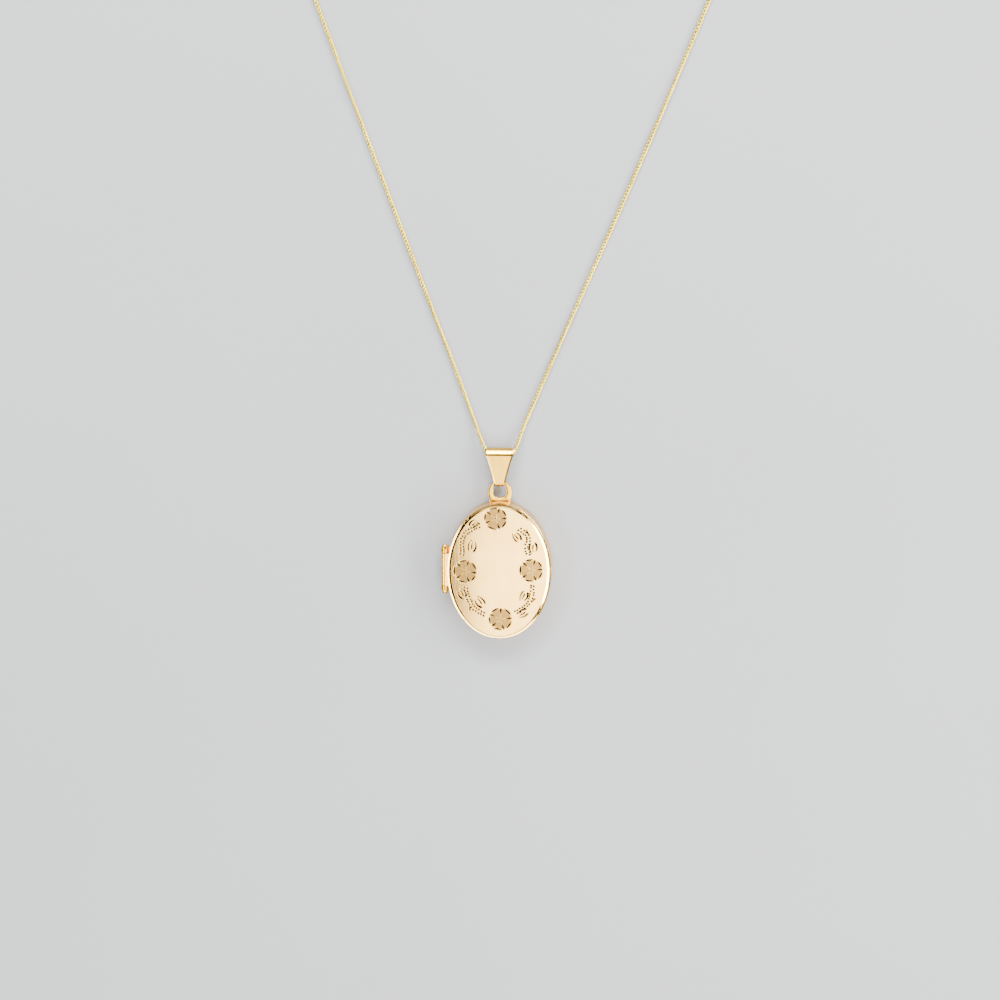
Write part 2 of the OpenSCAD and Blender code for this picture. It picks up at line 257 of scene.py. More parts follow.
CASE_GOLD = polished_metal("case gold", (1.0, 0.63, 0.17), (1.0, 0.57, 0.13))
WARM_GOLD = polished_metal("warm gold", (0.78, 0.44, 0.035), (0.64, 0.34, 0.025))
CHAIN_GOLD = polished_metal(
    "chain gold", (0.78, 0.62, 0.08), (0.70, 0.52, 0.06), rough=0.16, scratch_scale=1500.0
)


def put_mesh(name, points, face_blocks, material, sharp=None):
    """A new object of an array of points in metres and blocks of faces, smooth but for edges that turn by
    more than so many degrees."""
    mesh = bpy.data.meshes.new(name)
    faces = [face for block in face_blocks for face in block.tolist()]
    mesh.from_pydata(np.asarray(points, float).reshape(-1, 3).tolist(), [], faces)
    mesh.polygons.foreach_set("use_smooth", np.ones(len(mesh.polygons), bool))
    if sharp is not None:
        mesh.set_sharp_from_angle(angle=math.radians(sharp))
    mesh.materials.append(material)
    obj = bpy.data.objects.new(name, mesh)
    bpy.context.scene.collection.objects.link(obj)
    return obj


def grid_faces(rows, columns, wrap_rows=False):
    """Quads between neighbouring rows and columns of a grid stored row by row, whose last column meets its
    first."""
    r = np.arange(rows if wrap_rows else rows - 1)[:, None]
    c = np.arange(columns)[None, :]
    r2 = (r + 1) % rows
    c2 = (c + 1) % columns
    quads = np.stack([r * columns + c, r * columns + c2, r2 * columns + c2, r2 * columns + c], axis=-1)
    return quads.reshape(-1, 4)


def paint(obj, label, values):
    """Stores a value for each of the mesh's first points under that name, and nought for the rest."""
    padded = np.zeros(len(obj.data.vertices))
    padded[:values.size] = values.ravel()
    obj.data.attributes.new(label, "FLOAT", "POINT").data.foreach_set("value", padded)


# ---------------------------------------------------------------------------
# The chain. A fine curb chain of yellow gold wire: every link is the same ring
# twisted out of flat, so that the chain lies as a band and turns slowly. Both
# loose lengths leave the bail at its corners and end at the clasp.
# ---------------------------------------------------------------------------
LINK_HALF = 0.49
LINK_WIDE = 0.30
LINK_TWIST = 1.05
LINK_PITCH = 0.69
WIRE_R = 0.14
BAND_HALF_WIDE = LINK_WIDE + WIRE_R
BAND_HALF_THICK = 0.29
TABLE_RUN = 0.45

left_route = np.array([
    [-3.15, 23.6, 0.87], [-3.8, 25.3, 0.72], [-4.8, 28, 0.52], [-8.9, 39.3, 0.45], [-13.2, 50.6, 0.45],
    [-17.4, 61.8, 0.45], [-21.6, 73, 0.45], [-25.7, 84.1, 0.45], [-29.8, 95.2, 0.45], [-33.8, 106.2, 0.45],
    [-35.2, 110.3, 0.45], [-34.6, 113.9, 0.45], [-31.4, 116, 0.45], [-26.5, 116.6, 0.45],
    [-21.5, 116.6, 0.45], [-17.3, 116.6, 0.45],
])
left_end_route = np.array([
    [-10.6, 116.6, 1.3], [-8, 116.6, 1.15], [-4.6, 116.8, 0.7], [-1.2, 117, 0.45], [2.4, 117, 0.6],
    [5.95, 116.8, 1.1],
])
right_route = np.array([
    [3.15, 23.6, 0.87], [3.8, 25.3, 0.72], [4.8, 28, 0.52], [9.6, 39.3, 0.45], [14.5, 50.6, 0.45],
    [19.4, 61.8, 0.45], [24.2, 73, 0.45], [28.9, 84.1, 0.45], [33.5, 95.2, 0.45], [38, 106.2, 0.45],
    [39.5, 110.3, 0.45], [39, 114, 0.45], [35.8, 116.3, 0.45], [30.5, 117, 0.45], [23, 117.2, 0.45],
    [18.4, 117, 0.6], [14.65, 116.8, 1.1],
])
coil_at = np.array([-14, 122.8])
coil_turns = 3
coil_gap = 0.95
coil_outer = 4.75 + coil_gap * coil_turns / 2
coil_low = 0.45
coil_high = 1.35


def coil_points():
    """Turns in a flat spiral inwards on the table, then outwards again on top of it: the radius falls by
    one gap a turn and rises again, and the height eases from the low layer to the high one between them."""
    turn = np.linspace(0, 2 * coil_turns, 2 * coil_turns * 48 + 1)
    radius = coil_outer - coil_gap * np.where(turn < coil_turns, turn, 2 * coil_turns - turn)
    angle = 2 * np.pi * turn - np.pi / 2
    ease = np.clip((turn - coil_turns + 0.25) / 0.5, 0, 1)
    height = coil_low + (coil_high - coil_low) * ease ** 2 * (3 - 2 * ease)
    x = coil_at[0] + radius * np.cos(angle)
    y = coil_at[1] + radius * np.sin(angle)
    return np.stack([x, y, height], axis=-1)


def curve_pt(a, b, c, d, t):
    """Catmull-Rom: the cubic through b and c whose slopes there are half of c - a and of d - b."""
    bend = (2 * a - 5 * b + 4 * c - d) * t ** 2
    return 0.5 * (2 * b + (c - a) * t + bend + (3 * b - a - 3 * c + d) * t ** 3)


def smooth_line(points, step=0.1):
    """The Catmull-Rom curve through the points, resampled to even steps along its length."""
    p = np.vstack([points[0], points, points[-1]])
    t = np.linspace(0, 1, 40, endpoint=False)[:, None]
    parts = [curve_pt(p[i], p[i + 1], p[i + 2], p[i + 3], t) for i in range(len(p) - 3)]
    line = np.vstack(parts + [points[-1:]])
    along = np.concatenate([[0], np.cumsum(np.linalg.norm(np.diff(line, axis=0), axis=1))])
    even = np.linspace(0, along[-1], max(int(round(along[-1] / step)), 2) + 1)
    return np.stack([np.interp(even, along, line[:, k]) for k in range(3)], axis=-1), along[-1]


def twist_along(s):
    """How far the band of links has turned out of flat at each length along the chain, in radians."""
    return 0.30 + 0.35 * np.sin(s / 9.0) + 0.28 * np.sin(s / 3.7 + 1.0)


def lay_down(line, s):
    """Lets the band settle on the table from the height of its run. A twisted oval of half width w and half
    thickness h is half sqrt((w sin a)^2 + (h cos a)^2) high. It stays up where it leaves the bail."""
    spare, leave_long = 0.04, 6.0
    turn = twist_along(s)
    half = np.sqrt((BAND_HALF_WIDE * np.sin(turn)) ** 2 + (BAND_HALF_THICK * np.cos(turn)) ** 2)
    lowered = line.copy()
    lowered[:, 2] -= np.clip(TABLE_RUN - half - spare, 0, None) * np.clip(s / leave_long, 0, 1)
    return lowered


def chain_links(name, line, length, material):
    """Every link is the loop (L cos t, w sin t cos(a cos t), w sin t sin(a cos t)), which is an oval twisted
    by the angle a each way, with a round wire carried along it, set along the line at an even pitch."""
    count = int(round(length / LINK_PITCH))
    here = (np.arange(count) + 0.5) * length / count
    along = np.linspace(0, length, len(line))
    centre = np.stack([np.interp(here, along, line[:, k]) for k in range(3)], axis=-1)
    ahead = np.gradient(line, axis=0)
    tangent = np.stack([np.interp(here, along, ahead[:, k]) for k in range(3)], axis=-1)
    tangent /= np.linalg.norm(tangent, axis=1, keepdims=True)
    side = np.cross(tangent, [0, 0, 1.0])
    side /= np.linalg.norm(side, axis=1, keepdims=True)
    up = np.cross(side, tangent)
    turn = twist_along(here)[:, None]
    flat = np.cos(turn) * side + np.sin(turn) * up
    thick = np.cross(tangent, flat)
    steps, round_steps = 12, 5
    t = np.arange(steps) * 2 * np.pi / steps
    loop = np.stack([
        LINK_HALF * np.cos(t),
        LINK_WIDE * np.sin(t) * np.cos(LINK_TWIST * np.cos(t)),
        LINK_WIDE * np.sin(t) * np.sin(LINK_TWIST * np.cos(t)),
    ], axis=-1)
    run = np.roll(loop, -1, axis=0) - np.roll(loop, 1, axis=0)
    run /= np.linalg.norm(run, axis=1, keepdims=True)
    out = loop - (loop * run).sum(1, keepdims=True) * run
    out /= np.linalg.norm(out, axis=1, keepdims=True)
    other = np.cross(run, out)
    k = np.arange(round_steps) * 2 * np.pi / round_steps
    round_wire = np.cos(k)[None, :, None] * out[:, None] + np.sin(k)[None, :, None] * other[:, None]
    wire = (loop[:, None] + WIRE_R * round_wire).reshape(-1, 3)
    axes = np.stack([tangent, flat, thick], axis=1)
    points = centre[:, None] + np.einsum("pk,lkj->lpj", wire, axes)
    one = grid_faces(steps, round_steps, wrap_rows=True)
    faces = (one[None] + (np.arange(count) * steps * round_steps)[:, None, None]).reshape(-1, 4)
    return put_mesh(name, points * MM, [faces], material)


left_line, left_length = smooth_line(np.vstack([left_route, coil_points(), left_end_route]))
left_line = lay_down(left_line, np.linspace(0, left_length, len(left_line)))
left_chain = chain_links("left_curb_chain", left_line, left_length, CHAIN_GOLD)
right_line, right_length = smooth_line(right_route)
right_line = lay_down(right_line, np.linspace(0, right_length, len(right_line)))
right_chain = chain_links("right_curb_chain", right_line, right_length, CHAIN_GOLD)

bail_run_y = 22.095
bend_x = 2.0
bend_r = 0.8
bend_turn = np.radians(68) * np.arange(5) / 4
bend = np.stack([
    bend_x + bend_r * np.sin(bend_turn),
    bail_run_y + bend_r * (1 - np.cos(bend_turn)),
    0 * bend_turn + 0.87,
], axis=-1)
bail_route = np.vstack([[-3.12, 23.52, 0.87], bend[::-1] * [-1, 1, 1], bend, [3.12, 23.52, 0.87]])
bail_line, bail_length = smooth_line(bail_route, step=0.05)
bail_chain = chain_links("bail_curb_chain", bail_line, bail_length, CHAIN_GOLD)

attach(left_chain, "chain")
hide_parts("chain_left", "chain_left_end", "chain_coil")
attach(right_chain, "chain")
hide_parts("chain_right")
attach(bail_chain, "bail")
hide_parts("chain_in_bail")

# ---------------------------------------------------------------------------
# The two halves of the case. Each is stamped from one sheet of pale gold: a
# gently domed face, a narrow shoulder, a bright band and bead for a rim and a
# short upright wall, scooped where the hinge lies and for a thumbnail.
# ---------------------------------------------------------------------------
PARTING = 2.5
FACE_A, FACE_B, FACE_H = 9.06, 12.5, 2.28
UNDER_B, UNDER_H = 12.0, 1.93
HINGE_X = -10.3
RIM_GOLD = polished_metal(
    "rim gold", (1.0, 0.63, 0.17), (1.0, 0.57, 0.13), rough=0.07, rough_spread=0.03
)


def push_out(points, axis_x, axis_z, radius, half_long):
    """Points of a wall that lie nearer than the radius to a line along Y are moved straight out to it."""
    away = points[:, [0, 2]] - [axis_x, axis_z]
    far = np.linalg.norm(away, axis=1, keepdims=True)
    inside = (far[:, 0] < radius) & (np.abs(points[:, 1]) < half_long)
    moved = points.copy()
    moved[inside[:, None] & np.array([True, False, True])] = (
        (np.array([axis_x, axis_z]) + away / np.maximum(far, 1e-6) * radius)[inside].ravel()
    )
    return moved


def case_rim(name, up, columns=288):
    """A closed section of shoulder, bead and wall carried round ovals: each of its points has its own half
    width and half length, (a cos f, b sin f), and its own height from the parting plane."""
    bead_a, bead_b, bead_h, bead_r = 9.68, 12.88, 1.82, 0.12
    bead = [(bead_r * math.cos(a), bead_r * math.sin(a)) for a in np.radians(np.linspace(60, -50, 7))]
    section = [(FACE_A, FACE_B, FACE_H), (9.25, 12.58, 2.158), (9.45, 12.67, 2.03), (9.60, 12.82, 1.976)]
    section += [(bead_a + out, bead_b + out, bead_h + rise) for out, rise in bead]
    section += [(9.70, 12.90, h) for h in (1.5, 1.1, 0.8, 0.65, 0.5, 0.38, 0.25, 0.15, 0.06)]
    section += [(9.67, 12.87, 0.02), (9.38, 12.45, 0.02)]
    section += [(9.35, 12.42, h) for h in (0.05, 0.12, 0.2, 0.28, 0.36, 0.44, 0.6, 1.0, 1.45)]
    section += [(9.2, 12.2, 1.72), (FACE_A, UNDER_B, UNDER_H)]
    section = np.array(section)
    f = np.arange(columns) * 2 * np.pi / columns
    points = np.stack([
        section[:, 0:1] * np.cos(f),
        section[:, 1:2] * np.sin(f),
        PARTING + up * section[:, 2:3] + 0 * f,
    ], axis=-1).reshape(-1, 3)
    hinge_bed, nail_nick, catch_groove = (0.79, 4.72), (0.45, 1.6), (0.16, 0.8)
    points = push_out(points, HINGE_X, PARTING, *hinge_bed)
    points = push_out(points, 10.05, PARTING, *nail_nick)
    if up > 0:
        points = push_out(points, 9.27, PARTING + 0.28, *catch_groove)
    faces = grid_faces(len(section), columns, wrap_rows=True)
    if up > 0:
        faces = faces[:, ::-1]
    return put_mesh(name, points * MM, [faces], RIM_GOLD, sharp=9)


def face_plate(name, up, rise, rho, columns, material, relief=None):
    """The domed face as rings of ovals, rho times the outer one, with the height h + rise (1 - rho squared)
    less the engraved depth, and a plain underside. The middle points close both sides."""
    f = np.arange(columns) * 2 * np.pi / columns
    x = rho[:, None] * FACE_A * np.cos(f)
    y = rho[:, None] * FACE_B * np.sin(f)
    dome = np.minimum(FACE_H + rise * (1 - rho[:, None] ** 2) + 0 * f, PARTING)
    depth = relief(x, y) if relief else 0 * x
    top = np.stack([x, y, PARTING + up * (dome - depth)], axis=-1).reshape(-1, 3)
    under_rho, under_rise = np.array([1, 0.9, 0.6, 0.3]), 0.2
    under = np.stack([
        under_rho[:, None] * FACE_A * np.cos(f),
        under_rho[:, None] * UNDER_B * np.sin(f),
        PARTING + up * (UNDER_H + under_rise * (1 - under_rho[:, None] ** 2)) + 0 * f,
    ], axis=-1).reshape(-1, 3)
    top_middle = PARTING + up * min(FACE_H + rise, PARTING)
    under_middle = PARTING + up * (UNDER_H + under_rise)
    points = np.vstack([top, under, [[0, 0, top_middle], [0, 0, under_middle]]])
    rows = len(rho) + len(under_rho)
    faces = grid_faces(rows, columns)
    c = np.arange(columns)
    c2 = (c + 1) % columns
    last = (rows - 1) * columns
    pole = rows * columns
    caps = np.vstack([
        np.stack([c2, c, 0 * c + pole], axis=-1),
        np.stack([last + c, last + c2, 0 * c + pole + 1], axis=-1),
    ])
    if up > 0:
        faces = faces[:, ::-1]
        caps = caps[:, ::-1]
    return put_mesh(name, points * MM, [faces, caps], material), x, y


# ---------------------------------------------------------------------------
# The engraving on the cover. Four flowers with matted petals, leaves between
# them and garlands of punched dots, cut by hand with a bright V-shaped graver.
# ---------------------------------------------------------------------------
FLOWERS = [
    (-0.67, 10.32, 2.06, (2, 68, 140, 204, 292)),
    (-6.40, 0.08, 2.12, (-6, 72, 134, 220, 291)),
    (6.04, 0.40, 2.12, (6, 69, 134, 222, 297)),
    (0.25, -9.08, 2.12, (5, 87, 156, 222, 288)),
]
LEAVES = [
    (-4.78, 9.32, 222, 1.9, 1), (-5.06, 4.99, 265, 2.3, -1), (-7.02, -4.20, 296, 2.2, 1),
    (-3.67, -5.75, 306, 2.4, 1), (3.35, 6.85, 310, 2.0, -1), (6.43, 4.75, 88, 2.2, 1),
    (4.68, -4.60, 60, 2.1, 1), (4.51, -7.92, 35, 2.1, -1),
]
LONE_CUTS = [(5.30, 7.81, 290, 0.95), (6.50, -5.40, 47, 1.0), (-5.56, -7.08, 278, 0.85)]
GARLANDS = [
    [(-3.57, 9.05), (-6.11, 7.64), (-6.97, 5.88), (-6.97, 3.21)],
    [(-6.28, -2.97), (-5.92, -4.88), (-4.72, -7.02), (-2.63, -8.26)],
    [(6.26, -2.44), (6.07, -4.73), (5.04, -6.50), (2.95, -7.92)],
    [(3.82, 8.35), (5.21, 7.28), (5.60, 6.10), (5.21, 4.99), (5.56, 3.23)],
]
DOT_R, HEART_R = 0.205, 0.17
DOT_DEEP = 0.07
PETAL_DEEP = 0.025
# How deep a cut must be for its painted shade to be full.
DARK_FROM = 0.014


def bent_cut(start, end, bow, wide):
    """A cut along a parabola from start to end that bows aside by that share of its length. Its width swells
    with a root of the way from its fine end and closes over the last tenth."""
    t = np.linspace(0, 1, 9)[:, None]
    start, end = np.array(start, float), np.array(end, float)
    run = end - start
    aside = np.array([-run[1], run[0]]) * bow
    path = start + run * t + aside * 4 * t * (1 - t)
    swell = np.sqrt(0.15 + 0.85 * t[:, 0]) * np.clip((1.06 - t[:, 0]) / 0.18, 0, 1)
    return path, wide * swell


def flower_cuts(cx, cy, radius, notches):
    """An arc along the outer edge of each petal, and a wedge cut inwards between each pair of petals."""
    cuts = []
    arc_wide, wedge_wide = 0.185, 0.22
    for first, second in zip(notches, notches[1:] + (notches[0] + 360,)):
        gap = second - first
        a = np.radians(np.linspace(first + 0.2 * gap, second - 0.2 * gap, 11))
        flat = radius * (1 - 0.03 * np.cos(np.linspace(-1.4, 1.4, 11)))
        body = arc_wide * np.sin(np.linspace(0.25, math.pi - 0.12, 11)) ** 0.7
        cuts.append((np.stack([cx + flat * np.cos(a), cy + flat * np.sin(a)], -1), body))
        n = math.radians(first)
        reach = np.linspace(0.53, 0.97, 7) * radius
        wedge = wedge_wide * np.linspace(0.25, 1, 7) ** 0.8 * np.array([1, 1, 1, 1, 1, 1, 0.6])
        cuts.append((np.stack([cx + reach * math.cos(n), cy + reach * math.sin(n)], -1), wedge))
    return cuts


def leaf_cuts(x, y, angle, length, hand):
    """Two bowed outlines that meet at the leaf's root and a shorter vein between them."""
    a = math.radians(angle)
    along = np.array([math.cos(a), math.sin(a)])
    aside = np.array([-math.sin(a), math.cos(a)]) * hand

    def at(u, v):
        return np.array([x, y]) + length * (u * along + v * aside)

    return [
        bent_cut(at(-0.5, 0.10), at(0.42, 0.24), 0.15 * hand, 0.18),
        bent_cut(at(-0.30, -0.24), at(0.48, -0.12), -0.16 * hand, 0.24),
        bent_cut(at(-0.34, 0.0), at(0.26, 0.02), 0.05 * hand, 0.17),
    ]


def garland_dots(corners):
    """Two rows of punched dots on either side of a smooth line, stepped by half a space from one another."""
    line, length = smooth_line(np.array([(x, y, 0) for x, y in corners]), step=0.05)
    along = np.linspace(0, length, len(line))
    ahead = np.gradient(line, axis=0)
    ahead /= np.linalg.norm(ahead, axis=1, keepdims=True)
    dots = []
    spacing, aside, stray = 0.56, 0.29, 0.08
    hand = np.random.default_rng(len(corners) + int(10 * abs(corners[0][1])))
    for row, shift in ((-aside, 0.0), (aside, spacing / 2)):
        s = np.arange(shift, length, spacing)
        x = np.interp(s, along, line[:, 0] - ahead[:, 1] * row) + hand.uniform(-stray, stray, len(s))
        y = np.interp(s, along, line[:, 1] + ahead[:, 0] * row) + hand.uniform(-stray, stray, len(s))
        dots += list(zip(x, y))
    return dots


def engraved_depth(x, y):
    """The deepest of all cuts at each point. A V cut is as deep as the point is inside its edge, and a
    punched dot is a bowl, d (1 - r squared)."""
    depth = np.zeros_like(x)
    cuts = [cut for flower in FLOWERS for cut in flower_cuts(*flower)]
    cuts += [cut for leaf in LEAVES for cut in leaf_cuts(*leaf)]
    for cx, cy, angle, length in LONE_CUTS:
        half = 0.5 * length * np.array([math.cos(math.radians(angle)), math.sin(math.radians(angle))])
        cuts.append(bent_cut((cx, cy) - half, (cx, cy) + half, 0.04, 0.19))
    for path, wide in cuts:
        low, high = path.min(0) - 0.3, path.max(0) + 0.3
        near = (x > low[0]) & (x < high[0]) & (y > low[1]) & (y < high[1])
        here = np.stack([x[near], y[near]], -1)[:, None]
        start, run = path[None, :-1], np.diff(path, axis=0)[None]
        t = np.clip(((here - start) * run).sum(-1) / np.maximum((run ** 2).sum(-1), 1e-9), 0, 1)
        gap = np.linalg.norm(here - start - t[..., None] * run, axis=-1)
        half = wide[None, :-1] * (1 - t) + wide[None, 1:] * t
        depth[near] = np.maximum(depth[near], (half - gap).max(1))
    dots = [(x0, y0, DOT_R) for garland in GARLANDS for x0, y0 in garland_dots(garland)]
    dots += [(cx, cy, HEART_R) for cx, cy, _, _ in FLOWERS]
    for x0, y0, r in dots:
        near = (np.abs(x - x0) < r) & (np.abs(y - y0) < r)
        gap = ((x[near] - x0) ** 2 + (y[near] - y0) ** 2) / r ** 2
        depth[near] = np.maximum(depth[near], DOT_DEEP * np.clip(1 - gap, 0, 1))
    return depth


def petal_mask(x, y):
    """One inside the petals, fading at the flower's heart and outer edge, and less beside each notch."""
    mask = np.zeros_like(x)
    for cx, cy, radius, notches in FLOWERS:
        r = np.hypot(x - cx, y - cy) / radius
        angle = np.degrees(np.arctan2(y - cy, x - cx))
        off = np.min([np.abs((angle - n + 180) % 360 - 180) for n in notches], axis=0)
        inside = np.clip((0.95 - r) / 0.08, 0, 1) * np.clip((r - 0.06) / 0.06, 0, 1)
        mask = np.maximum(mask, inside * (0.7 + 0.3 * np.clip((off * r - 1.0) / 3, 0, 1)))
    return mask


def with_painted_shade(metal, name):
    """A copy of a metal painted dark wherever the attribute called cut says so: painted shade in engraved
    cuts and creases.
    """
    material = metal.copy()
    material.name = name
    nodes, links = material.node_tree.nodes, material.node_tree.links
    colour = nodes["Principled BSDF"].inputs["Base Color"]
    cut = nodes.new("ShaderNodeAttribute")
    cut.attribute_name = "cut"
    dark = nodes.new("ShaderNodeMix")
    dark.data_type = "RGBA"
    # Painted shade: the colour that the marked places are painted, nearly black.
    dark.inputs["B"].default_value = (0.006, 0.004, 0.0025, 1)
    links.new(cut.outputs["Fac"], dark.inputs["Factor"])
    links.new(colour.links[0].from_socket, dark.inputs["A"])
    links.new(dark.outputs["Result"], colour)
    return material


def engraved_material():
    """The cover's gold, dark in the cuts with painted shade, and matted on the petals by fine close strokes
    of the graver.
    """
    material = with_painted_shade(CASE_GOLD, "engraved gold")
    nodes, links = material.node_tree.nodes, material.node_tree.links
    shader = nodes["Principled BSDF"]
    dark = shader.inputs["Base Color"].links[0].from_node
    matt = nodes.new("ShaderNodeAttribute")
    matt.attribute_name = "matt"
    polished = dark.inputs["A"].links[0].from_socket
    tan = nodes.new("ShaderNodeMix")
    tan.data_type = "RGBA"
    tan.inputs["B"].default_value = (0.27, 0.145, 0.032, 1)
    share = nodes.new("ShaderNodeMath")
    share.operation = "MULTIPLY"
    share.inputs[1].default_value = 0.9
    links.new(matt.outputs["Fac"], share.inputs[0])
    links.new(share.outputs[0], tan.inputs["Factor"])
    links.new(polished, tan.inputs["A"])
    links.new(tan.outputs["Result"], dark.inputs["A"])
    gloss = shader.inputs["Roughness"].links[0].from_socket
    rough = nodes.new("ShaderNodeMath")
    rough.operation = "MULTIPLY_ADD"
    rough.inputs[1].default_value = 0.22
    links.new(matt.outputs["Fac"], rough.inputs[0])
    links.new(gloss, rough.inputs[2])
    links.new(rough.outputs[0], shader.inputs["Roughness"])
    strokes = placed_group(material, HAIRLINES, Scale=5200.0, Thinness=0.07)
    height = nodes.new("ShaderNodeMath")
    height.operation = "MULTIPLY"
    links.new(strokes.outputs["Mask"], height.inputs[0])
    links.new(matt.outputs["Fac"], height.inputs[1])
    hatch = nodes.new("ShaderNodeBump")
    hatch.inputs["Strength"].default_value = 0.5
    hatch.inputs["Distance"].default_value = 0.00002
    hatch.invert = True
    links.new(height.outputs[0], hatch.inputs["Height"])
    links.new(shader.inputs["Normal"].links[0].from_socket, hatch.inputs["Normal"])
    links.new(hatch.outputs["Normal"], shader.inputs["Normal"])
    return material


def sink(x, y):
    """Cuts and sunk petals together."""
    return np.maximum(engraved_depth(x, y), PETAL_DEEP * petal_mask(x, y))


cover_rho = np.concatenate([np.linspace(0.05, 0.38, 9), np.linspace(0.42, 1, 92)])
cover_face, face_x, face_y = face_plate(
    "engraved_face", 1, 0.22, cover_rho, 864, engraved_material(), relief=sink
)
# Painted shade: the engraved cuts are painted dark, fully from the depth DARK_FROM down.
paint(cover_face, "cut", np.clip(engraved_depth(face_x, face_y) / DARK_FROM, 0, 1))
paint(cover_face, "matt", petal_mask(face_x, face_y))
cover_rim = case_rim("cover_rim", 1)
back_rho = np.linspace(0.04, 1, 25)
back_face, _, _ = face_plate("back_face", -1, 0.30, back_rho, 288, CASE_GOLD)
back_rim = case_rim("back_rim", -1)
for piece, body, node in (
    (cover_face, "cover", "front_shell"),
    (cover_rim, "cover", "front_shell"),
    (back_face, "back_half", "back_shell"),
    (back_rim, "back_half", "back_shell"),
):
    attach(piece, body)
    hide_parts(node)

# ---------------------------------------------------------------------------
# The hinge. A drilled middle knuckle soldered to the cover turns between two
# tapered end knuckles on the back half, on one pin riveted at both ends.
# ---------------------------------------------------------------------------


def turned_along_y(name, profile, x, z, material, columns=72):
    """A closed profile of (y, radius) pairs turned round a line along Y."""
    profile = np.array(profile)
    a = np.arange(columns) * 2 * np.pi / columns
    points = np.stack([
        x + profile[:, 1:2] * np.cos(a),
        profile[:, 0:1] + 0 * a,
        z + profile[:, 1:2] * np.sin(a),
    ], axis=-1)
    faces = grid_faces(len(profile), columns, wrap_rows=True)[:, ::-1]
    return put_mesh(name, points * MM, [faces], material, sharp=25)


bore_r, knuckle_r = 0.29, 0.75
middle_profile = [
    (-3.1, bore_r), (-3.1, 0.68), (-3.03, knuckle_r), (3.03, knuckle_r), (3.1, 0.68), (3.1, bore_r),
]
end_profile = [
    (3.15, bore_r), (3.15, 0.68), (3.22, knuckle_r), (3.82, knuckle_r), (4.56, 0.51), (4.65, 0.45),
    (4.65, bore_r),
]
middle_knuckle = turned_along_y("cover_barrel", middle_profile, HINGE_X, PARTING, CASE_GOLD)
upper_knuckle = turned_along_y("upper_barrel", end_profile, HINGE_X, PARTING, WARM_GOLD)
lower_profile = [(-y, r) for y, r in end_profile[::-1]]
lower_knuckle = turned_along_y("lower_barrel", lower_profile, HINGE_X, PARTING, WARM_GOLD)
for piece, body, node in (
    (middle_knuckle, "cover", "middle_knuckle"),
    (upper_knuckle, "back_half", "upper_knuckle"),
    (lower_knuckle, "back_half", "lower_knuckle"),
):
    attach(piece, body)
    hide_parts(node)

# ---------------------------------------------------------------------------
# The pendant loop. A flat ring pierced from thick sheet of a warmer gold, with
# rounded edges and legs that widen into the wall of the back half.
# ---------------------------------------------------------------------------
LOOP_Y, LOOP_Z = 14.6, 1.3


def pendant_loop():
    """Round the loop's middle, the outer edge is the further of a circle and two upright legs, cut off at the
    wall. The hole is a rounded rectangle above and an oval below. Between them runs a squared-off section,
    (sign cos |cos b| ^ p, sign sin |sin b| ^ p)."""
    outer_r, leg_half, foot_down = 2.3, 2.0, 1.98
    hole_half, hole_up, hole_down = 1.2, 1.75, 0.98
    half_thick, p = 0.4, 0.45
    columns, section = 144, 24
    a = np.arange(columns) * 2 * np.pi / columns
    c, s = np.abs(np.cos(a)), np.abs(np.sin(a))
    wall = foot_down / np.maximum(s, 1e-6)
    legs = np.minimum(leg_half / np.maximum(c, 1e-6), wall)
    outer = np.where(np.sin(a) < 0, np.minimum(np.maximum(outer_r, legs), wall), outer_r)
    squared = ((c / hole_half) ** 7 + (s / hole_up) ** 7) ** (-1 / 7)
    low = ((c / hole_half) ** 2 + (s / hole_down) ** 2) ** -0.5
    inner = np.where(np.sin(a) < 0, low, squared)
    b = np.arange(section) * 2 * np.pi / section
    across = np.sign(np.cos(b)) * np.abs(np.cos(b)) ** p
    high = half_thick * np.sign(np.sin(b)) * np.abs(np.sin(b)) ** p
    r = ((outer + inner) / 2)[:, None] + ((outer - inner) / 2)[:, None] * across
    x = r * np.cos(a)[:, None]
    y = LOOP_Y + r * np.sin(a)[:, None]
    points = np.stack([x, y, LOOP_Z + high + 0 * r], axis=-1)
    faces = grid_faces(columns, section, wrap_rows=True)[:, ::-1]
    return put_mesh("pendant_ring", points * MM, [faces], WARM_GOLD)


loop = pendant_loop()
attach(loop, "back_half")
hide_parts("pendant_loop")

# ---------------------------------------------------------------------------
# The bail. A tapered strip of pale gold folded over the chain and closed round
# the top of the loop, with filed side edges and a crease under its top fold.
# The crease is also darkened with painted shade.
# ---------------------------------------------------------------------------
BAIL_T = 0.32
bail_polish = polished_metal("bail gold", (0.70, 0.41, 0.045), (0.62, 0.35, 0.035))
# The bail's gold, with painted shade in the crease.
BAIL_GOLD = with_painted_shade(bail_polish, "bail gold with painted crease shade")


